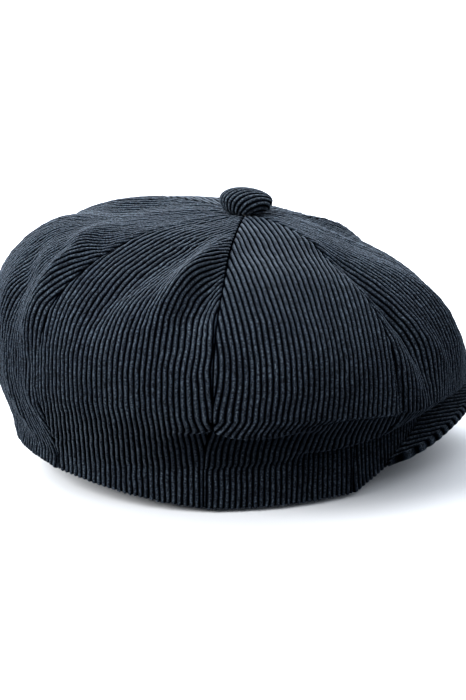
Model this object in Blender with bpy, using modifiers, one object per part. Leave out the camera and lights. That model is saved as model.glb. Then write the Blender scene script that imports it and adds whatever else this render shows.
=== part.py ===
"""Newsboy cap: eight corduroy gores gathered under a covered button, a full lining, a sweatband and a
short stiffened brim.

Metres, +Z up, +X towards the brim, +Y to the wearer's left. The hem stands on Z = 0. Every layer of the
cap is read from one crown surface, so the pieces nest with the gaps named below.
"""
import math

import bmesh
import bpy
import numpy as np

# Head opening at the outside of the hem, and the widest line of the crown (half lengths)
RING_LONG = 0.1055
RING_WIDE = 0.0905
CROWN_LONG = 0.119
CROWN_WIDE = 0.1235
CROWN_FORWARD = 0.003

# Heights of the crown's outer surface
TOP_Z = 0.122
APEX_FORWARD = 0.011
WIDEST_Z = 0.049
WIDEST_Z_FALL_TO_FRONT = 0.009
WIDEST_Z_FALL_AT_ENDS = 0.003
BAND_TOP_Z = 0.026
BAND_TOP_RISE_TO_FRONT = 0.00725
BAND_TOP_RISE_AT_ENDS = 0.00125

# How the dome rounds over: front and rear differ
DOME_SPREAD = 2.06
DOME_SPREAD_FALL_TO_FRONT = 0.48
DOME_FULLNESS = 2.87
DOME_FULLNESS_FALL_TO_FRONT = 0.8
OVERHANG_ROUNDNESS = 1.75
OVERHANG_RISE_TO_FRONT = 0.45
OVERHANG_SHARE = 0.6

# The hem arches over the brim at the front and lifts a little at the rear
FRONT_ARCH_HEIGHT = 0.028
FRONT_ARCH_HALF_LENGTH = 0.1155
FRONT_ARCH_POWER = 1.2
REAR_LIFT = 0.013
REAR_LIFT_START = 0.26
REAR_LIFT_POWER = 1.5

# Gores
GORES = 8
PLACES = ("front", "front_left", "left", "rear_left", "rear", "rear_right", "right", "front_right")
PANEL_THICKNESS = 0.002
PANEL_GAP = 0.0009
PANEL_HOLE_RADIUS = 0.006
PANEL_COLUMNS = 6
PANEL_ROWS = 12
LINING_THICKNESS = 0.0006
LINING_GAP = 0.0006
LINING_DEPTH = 0.0034
LINING_SLACK_AT_APEX = 0.004
LINING_HOLE_RADIUS = 0.003
LINING_DOME_ROWS = 5
LINING_ROWS = 7
LINING_END_INSET = 0.0034
LINING_END_HEIGHT = 0.031

# Bands inside the hem, as distances in from the hem's outer face
INTERLINING_INSET = 0.0026
INTERLINING_THICKNESS = 0.0008
INTERLINING_HEIGHT = 0.024
INTERLINING_LIFT = 0.0022
SWEATBAND_INSET = 0.0044
SWEATBAND_THICKNESS = 0.0012
SWEATBAND_HEIGHT = 0.032
SWEATBAND_LIFT = 0.0012
BAND_COLUMNS = 48

# Brim: a crescent arched from side to side, three layers thick
BRIM_CHORD_X = 0.057
BRIM_REACH = 0.081
BRIM_OUTLINE_POWER = 1.7
BRIM_HALF_WIDTH = 0.0765
BRIM_ROOT_GAP = 0.0016
BRIM_SHORTEST = 0.003
BRIM_LIFT = 0.001
BRIM_COLUMNS = 24
BRIM_ROWS = 4
COVER_THICKNESS = 0.0012
BOARD_THICKNESS = 0.0016
LAYER_GAP = 0.0003
BOARD_SETBACK = 0.0012

# Covered button, as (radius, height above the crown's apex) profiles
BUTTON_LIFT = 0.0003
BUTTON_RADIUS = 0.0133
BUTTON_HEIGHT = 0.0104
BUTTON_WIDEST = 0.0048
COVER_FABRIC = 0.0011
SHELL_METAL = 0.0006
BUTTON_MOUTH_RADIUS = 0.0095
BUTTON_ROLLED_EDGE = (
    (BUTTON_RADIUS - 0.0009, 0.0022),
    (BUTTON_MOUTH_RADIUS, 0.0008),
    (BUTTON_MOUTH_RADIUS, 0.0018),
    (BUTTON_RADIUS - 0.0020, 0.0029),
)
SHELL_RIM = ((BUTTON_RADIUS - 0.0023, 0.0034), (BUTTON_RADIUS - 0.0029, 0.0034))
BACK_PLATE = ((0.0019, 0.0040), (0.0098, 0.0040), (0.0098, 0.0032), (0.0019, 0.0032))
SHANK = (
    (0.0, 0.0053), (0.0040, 0.0053), (0.0040, 0.0043), (0.0015, 0.0043),
    (0.0015, -0.0047), (0.0035, -0.0047), (0.0035, -0.0055), (0.0, -0.0055),
)
WASHER = ((0.0019, -0.0035), (0.0080, -0.0035), (0.0080, -0.0043), (0.0019, -0.0043))
DOME_POINTS = 7
TURN_STEPS = 24

# The row's origin is under the middle of the whole cap
CENTRE_X = -(BRIM_CHORD_X + BRIM_REACH + CROWN_FORWARD - CROWN_LONG) / 2

CORDUROY = (0.024, 0.031, 0.042, 1.0)
LINING_COLOUR = (0.018, 0.020, 0.026, 1.0)
SWEATBAND_COLOUR = (0.012, 0.013, 0.016, 1.0)
INTERLINING_COLOUR = (0.45, 0.43, 0.38, 1.0)
BOARD_COLOUR = (0.55, 0.56, 0.57, 1.0)
METAL_COLOUR = (0.52, 0.52, 0.50, 1.0)


def arc_table(long, wide, samples=720):
    """(share of the way round, angle) along an ellipse, from the front towards the wearer's left."""
    angle = np.linspace(0, 2 * math.pi, samples + 1)
    points = np.stack([long * np.cos(angle), wide * np.sin(angle)], axis=1)
    length = np.concatenate([[0], np.cumsum(np.hypot(*np.diff(points, axis=0).T))])
    return length / length[-1], angle, length[-1]


RING_SHARE, RING_ANGLE, RING_LENGTH = arc_table(RING_LONG, RING_WIDE)
CROWN_SHARE, CROWN_ANGLE, _ = arc_table(CROWN_LONG, CROWN_WIDE)


def ring_angle(turn):
    return float(np.interp(turn % 1.0, RING_SHARE, RING_ANGLE))


def crown_angle(turn):
    return float(np.interp(turn % 1.0, CROWN_SHARE, CROWN_ANGLE))


def ring_point(turn, inset=0.0):
    """A point on the hem's outline, moved in by inset."""
    angle = ring_angle(turn)
    x = RING_LONG * math.cos(angle)
    y = RING_WIDE * math.sin(angle)
    normal_x = x / RING_LONG**2
    normal_y = y / RING_WIDE**2
    size = math.hypot(normal_x, normal_y)
    return CENTRE_X + x - inset * normal_x / size, y - inset * normal_y / size


def hem_z(turn):
    """Height of the hem: 0 along the sides, arched over the brim, lifted a little at the rear."""
    from_front = min(turn % 1.0, 1.0 - turn % 1.0) * RING_LENGTH
    arch = max(0.0, 1.0 - (from_front / FRONT_ARCH_HALF_LENGTH) ** 2) ** FRONT_ARCH_POWER
    rearward = (-math.cos(ring_angle(turn)) - REAR_LIFT_START) / (1.0 - REAR_LIFT_START)
    return FRONT_ARCH_HEIGHT * arch + REAR_LIFT * max(0.0, rearward) ** REAR_LIFT_POWER


def crown_surface(turn, down):
    """The crown's outer surface. down is 0 at the apex, 1 on the widest line and 2 at the hem."""
    angle = crown_angle(turn)
    front = math.cos(angle)
    ends = 2 * front * front - 1
    wide_x = CENTRE_X + CROWN_FORWARD + CROWN_LONG * front
    wide_y = CROWN_WIDE * math.sin(angle)
    wide_z = WIDEST_Z - WIDEST_Z_FALL_TO_FRONT * front - WIDEST_Z_FALL_AT_ENDS * ends
    if down <= 1.0:
        out = math.sin(math.pi / 2 * down)
        spread = DOME_SPREAD - DOME_SPREAD_FALL_TO_FRONT * front
        fullness = DOME_FULLNESS - DOME_FULLNESS_FALL_TO_FRONT * front
        rise = max(0.0, 1.0 - out**spread) ** (1.0 / fullness)
        apex_x = CENTRE_X + APEX_FORWARD
        return np.array([
            apex_x + (wide_x - apex_x) * out,
            wide_y * out,
            wide_z + (TOP_Z - wide_z) * rise,
        ])
    ring_x, ring_y = ring_point(turn)
    band_z = BAND_TOP_Z + BAND_TOP_RISE_TO_FRONT * front + BAND_TOP_RISE_AT_ENDS * front * front
    under = (down - 1.0) / OVERHANG_SHARE
    if under >= 1.0:
        low = (down - 1.0 - OVERHANG_SHARE) / (1.0 - OVERHANG_SHARE)
        return np.array([ring_x, ring_y, band_z + (hem_z(turn) - band_z) * low])
    drop = under ** (1.0 / (OVERHANG_ROUNDNESS + OVERHANG_RISE_TO_FRONT * front))
    return np.array([
        wide_x + (ring_x - wide_x) * under,
        wide_y + (ring_y - wide_y) * under,
        wide_z + (band_z - wide_z) * drop,
    ])


def crown_inside(turn, down, depth):
    """A point that lies depth under the crown's outer surface."""
    step = 0.002
    across = crown_surface(turn + step, down) - crown_surface(turn - step, down)
    up = crown_surface(turn, down - step) - crown_surface(turn, down + step)
    normal = np.cross(across, up)
    return crown_surface(turn, down) - normal * (depth / np.linalg.norm(normal))


def make_collection(name):
    made = bpy.data.collections.new(name)
    bpy.context.scene.collection.children.link(made)
    return made


def make_material(name, colour, roughness, metallic=0.0):
    made = bpy.data.materials.new(name)
    made.use_nodes = True
    shader = made.node_tree.nodes["Principled BSDF"]
    shader.inputs["Base Color"].default_value = colour
    shader.inputs["Roughness"].default_value = roughness
    shader.inputs["Metallic"].default_value = metallic
    return made


def make_object(name, bm, collection, material):
    mesh = bpy.data.meshes.new(name)
    bm.to_mesh(mesh)
    bm.free()
    mesh.materials.append(material)
    mesh.shade_smooth()
    made = bpy.data.objects.new(name, mesh)
    collection.objects.link(made)
    return made


def mapped_grid(columns, rows, place):
    """A grid whose vertex at (across, up), both 0 to 1, goes to place(across, up)."""
    bm = bmesh.new()
    bmesh.ops.create_grid(bm, x_segments=columns, y_segments=rows, size=0.5)
    for vertex in bm.verts:
        vertex.co = place(vertex.co.x + 0.5, vertex.co.y + 0.5)
    return bm


def mapped_loop(columns, place):
    """A strip closed round the head, one face high, whose vertices go to place(turn, up)."""
    bm = mapped_grid(columns, 1, place)
    bmesh.ops.remove_doubles(bm, verts=bm.verts, dist=1e-6)
    return bm


def thicken(made, thickness, offset=-1.0):
    shell = made.modifiers.new("Thickness", "SOLIDIFY")
    shell.thickness = thickness
    shell.offset = offset
    shell.use_even_offset = True
    shell.use_quality_normals = True


def panel_down(up):
    """Rows of a crown panel: the dome, the overhang and the band each get their share."""
    top = math.asin(PANEL_HOLE_RADIUS / CROWN_LONG) * 2 / math.pi
    return float(np.interp(1.0 - up, [0, 0.5, 5 / 6, 1], [top, 1, 1 + OVERHANG_SHARE, 2]))


def gore_turn(index, across, width_here, gap):
    """Where a gore's column lies, leaving half a gap at each seam."""
    inside = max(0.2, 1.0 - gap / width_here)
    return (index + (across - 0.5) * inside) / GORES


def gore_width(index, down):
    half = 0.5 / GORES
    middle = index / GORES
    return float(np.linalg.norm(crown_surface(middle + half, down) - crown_surface(middle - half, down)))


def add_crown_panel(index, collection, material):
    """One corduroy gore, cut in one piece from the button to the hem."""
    def place(across, up):
        down = panel_down(up)
        return crown_surface(gore_turn(index, across, gore_width(index, down), PANEL_GAP), down)

    bm = mapped_grid(PANEL_COLUMNS, PANEL_ROWS, place)
    thicken(make_object("crown_panel_" + PLACES[index], bm, collection, material), PANEL_THICKNESS)


def lining_point(index, across, row):
    """Rows follow the crown down to its shoulder, then run straight to the back of the sweatband."""
    def under_crown(at_row):
        down = panel_down(1.0 - at_row / PANEL_ROWS) if at_row else LINING_HOLE_RADIUS / CROWN_LONG
        turn = gore_turn(index, across, gore_width(index, down), LINING_GAP)
        slack = LINING_SLACK_AT_APEX * max(0.0, 1.0 - down / 0.5) ** 2
        return turn, crown_inside(turn, down, LINING_DEPTH + slack)

    turn, point = under_crown(min(row, LINING_DOME_ROWS))
    if row > LINING_DOME_ROWS:
        x, y = ring_point(turn, LINING_END_INSET)
        end = np.array([x, y, hem_z(turn) + LINING_END_HEIGHT])
        point = point + (end - point) * (row - LINING_DOME_ROWS) / (LINING_ROWS - LINING_DOME_ROWS)
    return point


def add_lining_gore(index, collection, material):
    """One lining gore, hanging a little slack under the button."""
    def place(across, up):
        return lining_point(index, across, round((1.0 - up) * LINING_ROWS))

    bm = mapped_grid(PANEL_COLUMNS, LINING_ROWS, place)
    thicken(make_object("lining_" + PLACES[index], bm, collection, material), LINING_THICKNESS)


def add_band(name, inset, lift, height, thickness, collection, material):
    """A band standing inside the hem, its lower edge following the hem."""
    def place(turn, up):
        x, y = ring_point(turn, inset)
        return x, y, hem_z(turn) + lift + height * up

    thicken(make_object(name, mapped_loop(BAND_COLUMNS, place), collection, material), thickness)


def brim_z(y):
    """Height of the brim's lower face at y: it follows the arch of the hem."""
    angle = math.asin(max(-1.0, min(1.0, y / RING_WIDE)))
    turn = float(np.interp(abs(angle), RING_ANGLE, RING_SHARE))
    return hem_z(turn) + BRIM_LIFT


def brim_point(across, out, height, setback):
    """A point at that height over the brim's lower face. across runs from right to left, out from root to edge."""
    y = (across * 2 - 1) * (BRIM_HALF_WIDTH - setback)
    long, wide = RING_LONG + BRIM_ROOT_GAP + setback, RING_WIDE + BRIM_ROOT_GAP + setback
    root_x = long * math.sqrt(1.0 - (y / wide) ** 2)
    side = abs(y) / BRIM_HALF_WIDTH
    reach = max(0.0, 1.0 - side**BRIM_OUTLINE_POWER) ** (1.0 / BRIM_OUTLINE_POWER)
    edge_x = max(BRIM_CHORD_X + BRIM_REACH * reach - setback, root_x + BRIM_SHORTEST)
    step = 0.0005
    slope = (brim_z(y + step) - brim_z(y - step)) / (2 * step)
    size = math.hypot(slope, 1.0)
    x = CENTRE_X + root_x + (edge_x - root_x) * out
    return x, y - height * slope / size, brim_z(y) + height / size


def add_brim_layer(name, height, thickness, setback, collection, material):
    def place(across, up):
        return brim_point(up, across, height, setback)

    bm = mapped_grid(BRIM_ROWS, BRIM_COLUMNS, place)
    thicken(make_object(name, bm, collection, material), thickness, offset=1.0)


def add_turned(name, profile, centre, collection, material):
    """A profile of (radius, height) points, outer side first from the top down, turned about +Z."""
    bm = bmesh.new()
    verts = [bm.verts.new((radius, 0.0, height)) for radius, height in profile]
    for first, second in zip(verts, verts[1:]):
        bm.edges.new((first, second))
    if profile[0][0] > 0:
        bm.edges.new((verts[-1], verts[0]))
    made = make_object(name, bm, collection, material)
    made.location = centre
    turn = made.modifiers.new("Turn", "SCREW")
    turn.axis = "Z"
    turn.steps = TURN_STEPS
    turn.render_steps = TURN_STEPS
    turn.use_merge_vertices = True
    turn.merge_threshold = 0.00001
    return made


def dome_profile(radius, height):
    """Quarter-ellipse points from the axis at height down to radius at the button's widest line."""
    angles = np.linspace(0, math.pi / 2, DOME_POINTS)
    return [(radius * math.sin(a), BUTTON_WIDEST + (height - BUTTON_WIDEST) * math.cos(a)) for a in angles]


def add_button(collection, fabric, metal):
    """The covered button, its shell and back, and the shank that pins it through the apex to a washer."""
    centre = (CENTRE_X + APEX_FORWARD, 0.0, TOP_Z + BUTTON_LIFT)
    outer = dome_profile(BUTTON_RADIUS, BUTTON_HEIGHT)
    inner = dome_profile(BUTTON_RADIUS - COVER_FABRIC, BUTTON_HEIGHT - COVER_FABRIC)
    add_turned("button_cover", outer + list(BUTTON_ROLLED_EDGE) + inner[::-1], centre, collection, fabric)

    gap = COVER_FABRIC + LAYER_GAP
    shell_outer = dome_profile(BUTTON_RADIUS - gap, BUTTON_HEIGHT - gap)
    gap += SHELL_METAL
    shell_inner = dome_profile(BUTTON_RADIUS - gap, BUTTON_HEIGHT - gap)
    add_turned("button_shell", shell_outer + list(SHELL_RIM) + shell_inner[::-1], centre, collection, metal)
    add_turned("button_back", BACK_PLATE, centre, collection, metal)
    add_turned("button_shank", SHANK, centre, collection, metal)
    add_turned("button_washer", WASHER, centre, collection, metal)


def main():
    for old in list(bpy.data.objects):
        bpy.data.objects.remove(old)
    cap = make_collection("newsboy_cap")
    corduroy = make_material("corduroy", CORDUROY, 0.9)
    lining = make_material("lining", LINING_COLOUR, 0.45)
    sweatband = make_material("sweatband", SWEATBAND_COLOUR, 0.8)
    interlining = make_material("interlining", INTERLINING_COLOUR, 0.85)
    board = make_material("brim_board", BOARD_COLOUR, 0.5)
    metal = make_material("button_metal", METAL_COLOUR, 0.35, 1.0)

    for index in range(GORES):
        add_crown_panel(index, cap, corduroy)
        add_lining_gore(index, cap, lining)
    add_band("hem_interlining", INTERLINING_INSET, INTERLINING_LIFT, INTERLINING_HEIGHT,
             INTERLINING_THICKNESS, cap, interlining)
    add_band("sweatband", SWEATBAND_INSET, SWEATBAND_LIFT, SWEATBAND_HEIGHT,
             SWEATBAND_THICKNESS, cap, sweatband)

    board_height = COVER_THICKNESS + LAYER_GAP
    top_height = board_height + BOARD_THICKNESS + LAYER_GAP
    add_brim_layer("brim_under_cover", 0.0, COVER_THICKNESS, 0.0, cap, corduroy)
    add_brim_layer("brim_board", board_height, BOARD_THICKNESS, BOARD_SETBACK, cap, board)
    add_brim_layer("brim_top_cover", top_height, COVER_THICKNESS, 0.0, cap, corduroy)
    add_button(cap, corduroy, metal)


main()
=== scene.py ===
"""Looks of the newsboy cap: corduroy gores with real wales and folds, a covered button, a brim cut on the
grain, a satin lining and a twill sweatband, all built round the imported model. Metres, +X towards the brim.

A place on the crown is (turn, down). turn is the share of the way round from the front towards the
wearer's left. down is 0 at the apex, 1 on the widest line, 1.6 at the top of the band and 2 at the hem.
"""
import math

import bpy
import numpy as np
from mathutils import Matrix, Vector


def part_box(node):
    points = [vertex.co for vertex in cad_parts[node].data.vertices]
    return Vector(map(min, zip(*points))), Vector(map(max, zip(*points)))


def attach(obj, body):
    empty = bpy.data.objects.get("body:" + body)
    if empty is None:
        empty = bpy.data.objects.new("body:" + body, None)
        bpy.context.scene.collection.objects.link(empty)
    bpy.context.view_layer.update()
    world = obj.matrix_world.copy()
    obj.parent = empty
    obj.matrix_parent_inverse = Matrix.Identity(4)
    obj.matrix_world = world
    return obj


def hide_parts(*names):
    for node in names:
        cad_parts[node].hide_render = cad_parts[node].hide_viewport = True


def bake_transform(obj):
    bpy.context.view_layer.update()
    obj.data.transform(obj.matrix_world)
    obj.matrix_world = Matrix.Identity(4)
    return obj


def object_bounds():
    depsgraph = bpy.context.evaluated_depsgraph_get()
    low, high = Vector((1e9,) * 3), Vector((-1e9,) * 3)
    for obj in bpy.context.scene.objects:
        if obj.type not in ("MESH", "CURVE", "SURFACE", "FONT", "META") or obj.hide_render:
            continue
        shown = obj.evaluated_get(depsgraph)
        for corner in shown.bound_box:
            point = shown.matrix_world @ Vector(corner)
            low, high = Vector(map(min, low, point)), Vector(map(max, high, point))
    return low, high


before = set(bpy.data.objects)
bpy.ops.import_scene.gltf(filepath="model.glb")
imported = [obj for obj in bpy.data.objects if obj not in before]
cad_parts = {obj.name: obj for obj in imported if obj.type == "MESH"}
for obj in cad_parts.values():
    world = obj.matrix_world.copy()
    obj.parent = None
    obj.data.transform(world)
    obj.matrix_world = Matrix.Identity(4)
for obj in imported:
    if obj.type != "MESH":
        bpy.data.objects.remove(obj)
cad_low, cad_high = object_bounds()

# Driving sizes, read from the frame
GORES = 8
PLACES = ("front", "front_left", "left", "rear_left", "rear", "rear_right", "right", "front_right")
INTERLINING_INSET = 0.0026
CROWN_FORWARD = 0.003
tape_low, tape_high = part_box("hem_interlining")
CENTRE_X = (tape_low.x + tape_high.x) / 2
RING_LONG = (tape_high.x - tape_low.x) / 2 + INTERLINING_INSET
RING_WIDE = (tape_high.y - tape_low.y) / 2 + INTERLINING_INSET
CROWN_LONG = CENTRE_X + CROWN_FORWARD - cad_low.x
CROWN_WIDE = cad_high.y

# The crown's dome. The cloth comes down to the widest line at this slope: (share of the way in, height)
WIDEST_SLOPE = (0.02, 0.009)
TOP_Z = 0.122
APEX_FORWARD = 0.011
WIDEST_Z = 0.049
WIDEST_Z_FALL_TO_FRONT = 0.009
WIDEST_Z_FALL_AT_ENDS = 0.003
DOME_SPREAD = 2.06
DOME_SPREAD_FALL_TO_FRONT = 0.48
DOME_FULLNESS = 2.87
DOME_FULLNESS_FALL_TO_FRONT = 0.8
HOLE_RADIUS = 0.0028
BUTTON_DIMPLE = 0.0016
BUTTON_DIMPLE_RADIUS = 0.011
BUTTON_DIMPLE_ABOVE_Z = 0.1

# The hem. Its edge is a flattened roll, and the turning inside it rises a little
FRONT_ARCH_HEIGHT = 0.028
FRONT_ARCH_HALF_LENGTH = 0.1155
FRONT_ARCH_POWER = 1.2
REAR_LIFT = 0.013
REAR_LIFT_START = 0.26
REAR_LIFT_POWER = 1.5
HEM_ROLL = 0.0013
HEM_ROLL_FLATNESS = 0.6
HEM_ROLL_ROWS = 8
HEM_TURNING = 0.0026
HEM_TURNING_RISE = 0.0012

# The crown's underside, from its widest line in to the band. A station is (gores from the front, how much
# higher the widest line runs there, points), and a point is (share of the way in, height). Heights are in mm,
# and the last point is the top of the band.
UNDERSIDE = (
    (-4.00, 0.0, ((0.15, 46.0), (0.35, 39.0), (0.55, 33.0), (0.75, 28.0), (0.90, 23.5), (1.0, 19.0))),
    (-3.50, 0.0, ((0.15, 46.5), (0.35, 39.5), (0.55, 33.0), (0.75, 27.0), (0.90, 22.0), (1.0, 17.0))),
    (-3.00, 0.0, ((0.14, 46.0), (0.34, 39.6), (0.55, 33.6), (0.75, 28.0), (0.90, 23.0), (1.0, 17.5))),
    (-2.75, 0.0, ((0.09, 46.6), (0.26, 42.0), (0.48, 36.0), (0.72, 29.0), (0.91, 23.0), (1.0, 18.0))),
    (-2.50, 0.0, ((0.05, 46.6), (0.12, 44.2), (0.42, 43.0), (0.76, 33.0), (0.93, 23.0), (1.0, 18.5))),
    (-2.30, 0.0, ((0.05, 46.8), (0.11, 44.4), (0.44, 44.0), (0.76, 33.5), (0.93, 23.0), (1.0, 18.5))),
    (-2.10, 0.0, ((0.05, 48.6), (0.11, 46.4), (0.42, 44.6), (0.72, 33.5), (0.91, 24.0), (1.0, 19.0))),
    (-1.90, 0.0, ((0.06, 49.0), (0.18, 46.0), (0.42, 40.0), (0.72, 29.5), (0.88, 27.0), (1.0, 20.0))),
    (-1.75, 0.0, ((0.06, 48.0), (0.22, 43.5), (0.45, 36.5), (0.64, 30.5), (0.80, 34.0), (1.0, 25.0))),
    (-1.60, 0.5, ((0.05, 47.0), (0.20, 42.0), (0.38, 36.6), (0.52, 33.2), (0.72, 38.0), (1.0, 28.0))),
    (-1.45, 1.0, ((0.05, 46.4), (0.15, 42.6), (0.30, 38.2), (0.42, 36.2), (0.62, 40.0), (1.0, 29.0))),
    (-1.25, 2.2, ((0.04, 45.4), (0.12, 42.6), (0.22, 40.6), (0.34, 39.6), (0.56, 42.0), (1.0, 30.0))),
    (-1.00, 3.4, ((0.04, 43.8), (0.11, 41.8), (0.20, 40.6), (0.32, 40.4), (0.55, 42.0), (1.0, 30.0))),
    (-0.75, 3.0, ((0.05, 41.0), (0.14, 39.0), (0.25, 38.0), (0.42, 38.0), (0.65, 39.6), (1.0, 31.0))),
    (-0.50, 1.6, ((0.07, 38.0), (0.18, 36.0), (0.32, 35.2), (0.50, 35.6), (0.76, 36.8), (1.0, 31.0))),
    (0.00, 0.0, ((0.12, 35.8), (0.28, 34.9), (0.45, 34.9), (0.62, 35.5), (0.80, 36.4), (1.0, 33.0))),
    (0.50, 1.0, ((0.08, 37.4), (0.20, 35.4), (0.34, 34.6), (0.52, 35.2), (0.76, 36.4), (1.0, 31.0))),
    (1.00, 2.0, ((0.05, 42.0), (0.14, 39.6), (0.26, 38.4), (0.42, 38.6), (0.65, 40.0), (1.0, 29.0))),
    (1.50, 0.6, ((0.05, 46.0), (0.16, 41.6), (0.32, 37.0), (0.48, 35.0), (0.68, 38.0), (1.0, 28.0))),
    (2.00, 0.0, ((0.06, 48.0), (0.20, 43.6), (0.42, 37.6), (0.66, 31.0), (0.86, 27.6), (1.0, 21.0))),
    (2.50, 0.0, ((0.06, 48.6), (0.17, 45.0), (0.38, 40.0), (0.68, 30.6), (0.90, 24.0), (1.0, 18.5))),
    (3.00, 0.0, ((0.12, 46.0), (0.32, 40.2), (0.54, 33.8), (0.75, 28.0), (0.90, 23.0), (1.0, 17.5))),
    (3.50, 0.0, ((0.15, 46.5), (0.35, 39.5), (0.55, 33.0), (0.75, 27.0), (0.90, 22.0), (1.0, 17.0))),
)
STATION_SMOOTHING = 0.09
BAND_DOWN = 1.6

# Folds pressed into the cloth: (places as (gores from the front, down), width, height), in metres. A valley's
# height is below 0. They fade out under the button and at the hem
FOLDS = (
    (((-2.60, 0.24), (-2.73, 0.51), (-2.86, 0.82)), 0.0064, 0.0066),
    (((-2.95, 0.36), (-3.17, 0.64), (-3.22, 0.85)), 0.0110, -0.0058),
    (((-2.54, 0.40), (-2.62, 0.64), (-2.68, 0.84)), 0.0070, -0.0052),
    (((-1.56, 0.23), (-1.30, 0.41), (-1.27, 0.59), (-1.20, 0.76), (-1.05, 0.91)), 0.0050, 0.0020),
    (((-1.42, 0.32), (-1.34, 0.55), (-1.30, 0.80), (-1.24, 0.98)), 0.0078, -0.0075),
    (((-0.90, 0.40), (-0.82, 0.66), (-0.86, 0.90)), 0.0150, 0.0045),
    (((-4.10, 0.36), (-3.66, 0.53), (-3.60, 0.78), (-3.62, 0.98)), 0.0070, 0.0056),
    (((-4.15, 0.58), (-3.86, 0.74), (-3.80, 0.94)), 0.0080, -0.0052),
    (((-3.90, 0.96), (-3.74, 1.50)), 0.0040, 0.0018),
    (((-3.64, 0.97), (-3.52, 1.25)), 0.0035, 0.0016),
    (((0.45, 0.30), (0.62, 0.48), (0.70, 0.62)), 0.0120, 0.0040),
    (((-2.20, 0.55), (-2.05, 0.80), (-2.10, 0.96)), 0.0140, 0.0018),
    (((1.60, 0.30), (1.40, 0.55), (1.36, 0.82)), 0.0080, 0.0030),
    (((1.80, 0.42), (1.70, 0.66), (1.72, 0.86)), 0.0100, -0.0026),
    (((2.62, 0.30), (2.80, 0.54), (2.76, 0.84)), 0.0085, 0.0030),
    (((3.10, 0.40), (3.20, 0.66), (3.05, 0.90)), 0.0100, -0.0026),
    (((0.15, 0.35), (0.05, 0.62), (0.12, 0.90)), 0.0110, 0.0020),
    (((-0.55, 0.55), (-0.42, 0.75), (-0.46, 0.95)), 0.0080, -0.0022),
    (((-1.50, 0.78), (-1.49, 0.92), (-1.48, 1.05)), 0.0030, -0.0032),
    (((3.10, 0.62), (3.45, 0.53), (3.75, 0.57), (4.20, 0.68)), 0.0210, 0.0050),
    (((2.85, 0.26), (3.12, 0.34), (3.30, 0.33)), 0.0150, -0.0024),
    (((-0.70, 0.26), (-0.20, 0.34), (0.50, 0.38)), 0.0240, -0.0026),
)
FOLD_STEPS = 6
FOLD_END_FULLNESS = 0.7
FOLDS_FULL_FROM = 0.25
FOLDS_HEM_FADE = 0.3
UNDULATION = 0.0009
UNDULATION_STEP = 0.045

# The pucker on the seam between the right and rear right gores
PUCKER_PLACE = (-2.5, 1.14)
PUCKER_RADIUS = 0.013
PUCKER_DEPTH = 0.0030
PUCKER_PULL = 0.42
PUCKER_SIDES = {5: 1, 6: -1}
PUCKER_GATHER = 0.0052
PUCKER_GATHER_WIDTH = 0.010
PUCKER_GATHER_DOWN = (0.88, 1.10, 1.34)

# Corduroy
WALE_PITCH = 0.00275
WALE_HEIGHT = 0.0011
WALE_PHASES = (0.0, 0.08, 0.22, 0.40, 0.60, 0.78, 0.92)
WALE_ROUNDNESS = 0.8
WALE_WANDER = 0.00016
WALE_WANDER_STEP = 0.009
WALE_UNEVENNESS = 0.15
GORE_UNEVENNESS_STEP = 0.0035
BRIM_UNEVENNESS_STEP = 0.0045

# How the wales lie on each gore: the slope of their lean above LEAN_DOWN, and how far they sweep aside where
# the cloth turns under, which starts, is greatest and ends at SWEEP_DOWN
WALE_LEANS = (0.04, -0.06, 0.05, -0.08, 0.06, 0.30, 0.02, -0.05)
LEAN_DOWN = 0.78
LEAN_FADE = 0.3
SWEEPS = (0.0, 0.0, 0.002, 0.0, 0.0, 0.0015, -0.0045, 0.0)
SWEEP_DOWN = (0.94, 1.12, 1.58)

# The seams between gores. The wales end at them, and the cloth beside them stands up a little
SEAM_DROP = 0.0003
SEAM_HALF_WIDTH = 0.0006
SEAM_ROUNDNESS = 0.7
SEAM_PUFF = 0.0004
SEAM_PUFF_PLACE = 0.0025

# The gores' meshes. The margin is the columns past each seam that make the normals right at it
ROW_STEP = 0.0015
UNDERSIDE_ROW_STEP = 0.0011
GORE_SAMPLES = 96
GORE_MARGIN = 3

# The covered button, a little fuller towards the rear
BUTTON_RADIUS = 0.0133
BUTTON_HEIGHT = 0.0100
BUTTON_WIDEST = 0.0048
BUTTON_MOUTH_RADIUS = 0.0095
BUTTON_MOUTH_HEIGHT = -0.0004
BUTTON_SKEW = 0.24
BUTTON_WALE_TURN = 18.0
BUTTON_WALE_OFFSET = 0.25
BUTTON_RAISE = 0.0003
BUTTON_PLEATS = 22
BUTTON_PLEAT_DEPTH = 0.0006

# The brim
BRIM_CHORD_X = 0.057
BRIM_REACH = 0.081
BRIM_OUTLINE_POWER = 1.7
BRIM_HALF_WIDTH = 0.0765
BRIM_SHORTEST = 0.003
BRIM_LIFT = 0.001
BRIM_THICKNESS = 0.0046
BRIM_EDGE_FULL_FROM = 0.008
BRIM_EDGE_LEAST_ROLL = 0.15
BRIM_ROWS = 26
BRIM_EDGE_ROWS = 7
BRIM_EDGE_BLEND_ROWS = 3
BRIM_SLOPE_STEP = 0.0005

# At the brim's edge the grooves fill out and the wales lie flatter, both by more at its narrow ends
BRIM_EDGE_PUFF = 0.8
BRIM_EDGE_FLATNESS = 0.45
BRIM_END_EXTRA = 0.25

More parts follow.
